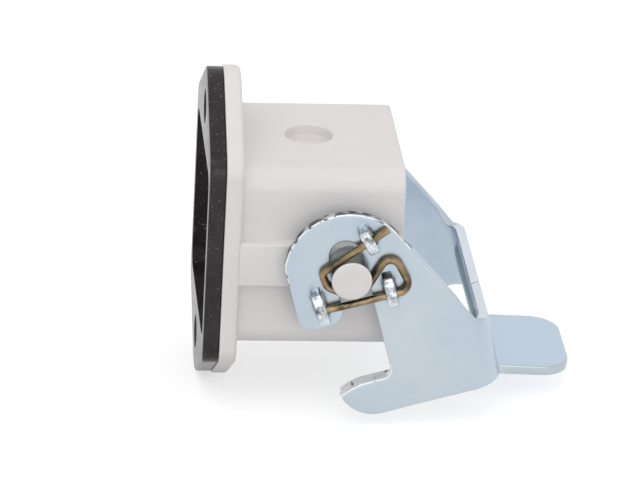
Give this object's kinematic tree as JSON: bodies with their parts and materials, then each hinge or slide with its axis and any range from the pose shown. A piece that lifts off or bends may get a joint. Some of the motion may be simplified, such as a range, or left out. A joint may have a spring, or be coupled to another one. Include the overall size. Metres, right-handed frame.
{
  "type": "panel connector housing",
  "caption": "Panel-mounting connector housing with a flat gasket, a square insert cavity and a sprung U-shaped locking lever on side pegs.",
  "frame": {"origin": "middle of the gasket's mounting face, in the plane of the panel, half way between the two screw holes", "axes": "+X out of the panel in the mating direction, +Y from the near lever plate to the far one, +Z along the line of the two screw holes"},
  "size_m": [0.0457, 0.0344, 0.0402],
  "materials": {
    "plastic": "fine satin moulded thermoplastic, light warm grey",
    "rubber": "matt black rubber",
    "brass": "turned",
    "zinc_steel": "bluish zinc plate, bright sheared edges",
    "spring_steel": "brown passivated wire"
  },
  "bodies": {
    "housing": {"housing_body": "plastic", "panel_gasket": "rubber", "insert_seal": "rubber", "insert_nut": "brass"},
    "springs": {"spring_wire_near": "spring_steel", "spring_wire_far": "spring_steel"},
    "lever": {"locking_lever": "zinc_steel"}
  },
  "joints": [
    {"name": "lever_swing", "type": "hinge", "parent": "housing", "child": "springs", "pos_m": [0.017, 0, 0], "axis": [0, -1, 0], "range_deg": [-43, 148]},
    {"name": "lever_pull", "type": "slide", "parent": "springs", "child": "lever", "axis": [0.2756, 0, -0.9613], "range_m": [0, 0.0024], "stiffness_N_per_m": 4000, "springref_m": -0.0005, "deforming": ["spring_wire_near", "spring_wire_far"]}
  ]
}
